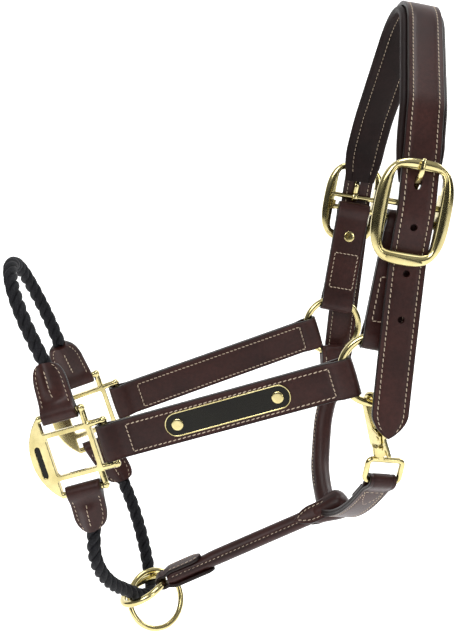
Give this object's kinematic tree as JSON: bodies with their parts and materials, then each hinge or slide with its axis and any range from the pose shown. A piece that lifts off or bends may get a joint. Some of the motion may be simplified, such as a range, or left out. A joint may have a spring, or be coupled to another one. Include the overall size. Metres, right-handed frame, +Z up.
{
  "type": "headcollar",
  "caption": "Horse headcollar of rolled and flat stitched leather with padded crown, brass buckles, rings and squares, a throat snap and rope nose and chin bands.",
  "frame": {"origin": "middle of the crown pad's underside, where it rests on the horse's poll", "axes": "+Z up, nose towards -X, the horse's left (near) side towards -Y"},
  "size_m": [0.2969, 0.2122, 0.4519],
  "materials": {
    "brown_leather": "satin",
    "pad_leather": "satin",
    "black_rope": "matte",
    "plate_enamel": "satin",
    "polished_brass": "polished",
    "spring_steel": "satin"
  },
  "bodies": {
    "headcollar": {"crown_strap": "brown_leather", "crown_pad": "pad_leather", "chin_strap": "brown_leather", "chin_strap_wrap": "brown_leather", "throat_strap": "brown_leather", "throat_roll": "brown_leather", "nose_rope": "black_rope", "chin_rope": "black_rope", "name_plate": "plate_enamel", "name_plate_rivets": "polished_brass", "snap_eye": "polished_brass", "near_buckle_frame": "polished_brass", "near_tongue_pin": "polished_brass", "near_billet": "brown_leather", "near_billet_rivet": "polished_brass", "near_halter_square": "polished_brass", "near_cheek_strap": "brown_leather", "near_nose_tab": "brown_leather", "near_chin_tab": "brown_leather", "far_buckle_frame": "polished_brass", "far_tongue_pin": "polished_brass", "far_billet": "brown_leather", "far_billet_rivet": "polished_brass", "far_halter_square": "polished_brass", "far_cheek_strap": "brown_leather", "far_nose_tab": "brown_leather", "far_chin_tab": "brown_leather"},
    "near_tongue": {"near_buckle_tongue": "polished_brass"},
    "far_tongue": {"far_buckle_tongue": "polished_brass"},
    "near_ring": {"near_cheek_ring": "polished_brass"},
    "far_ring": {"far_cheek_ring": "polished_brass"},
    "chin_ring_body": {"chin_ring": "polished_brass"},
    "lead_ring_body": {"lead_ring": "polished_brass"},
    "snap": {"snap_body": "polished_brass", "snap_pin": "polished_brass", "snap_spring": "spring_steel"},
    "gate": {"snap_gate": "polished_brass"}
  },
  "joints": [
    {"name": "near_tongue_hinge", "type": "hinge", "parent": "headcollar", "child": "near_tongue", "pos_m": [-0.02106, -0.0955, -0.12321], "axis": [0.9857, 0, -0.1685], "range_deg": [0, 25]},
    {"name": "far_tongue_hinge", "type": "hinge", "parent": "headcollar", "child": "far_tongue", "pos_m": [-0.02106, 0.0955, -0.12321], "axis": [-0.9857, 0, 0.1685], "range_deg": [0, 25]},
    {"name": "near_ring_turn", "type": "hinge", "parent": "headcollar", "child": "near_ring", "pos_m": [-0.03858, -0.086, -0.22573], "axis": [-0.0872, -0.9962, 0], "continuous": true},
    {"name": "far_ring_turn", "type": "hinge", "parent": "headcollar", "child": "far_ring", "pos_m": [-0.03858, 0.086, -0.22573], "axis": [-0.0872, 0.9962, 0], "continuous": true},
    {"name": "chin_ring_turn", "type": "hinge", "parent": "headcollar", "child": "chin_ring_body", "pos_m": [-0.1896, 0, -0.4087], "axis": [-0.4478, 0, 0.8942], "continuous": true},
    {"name": "lead_ring_swing", "type": "hinge", "parent": "headcollar", "child": "lead_ring_body", "pos_m": [-0.18302, 0.01477, -0.4054], "axis": [0.866, -0.5, 0], "range_deg": [0, 30]},
    {"name": "snap_swivel", "type": "hinge", "parent": "headcollar", "child": "snap", "pos_m": [-0.0315, -0.0765, -0.287], "axis": [-0.1816, -0.2435, 0.9528], "range_deg": [-8, 2]},
    {"name": "gate_hinge", "type": "hinge", "parent": "snap", "child": "gate", "pos_m": [-0.03358, -0.0839, -0.26985], "axis": [-0.8976, -0.3546, -0.2617], "range_deg": [0, 18], "stiffness_Nm_per_rad": 0.05, "springref_deg": -14.32}
  ]
}
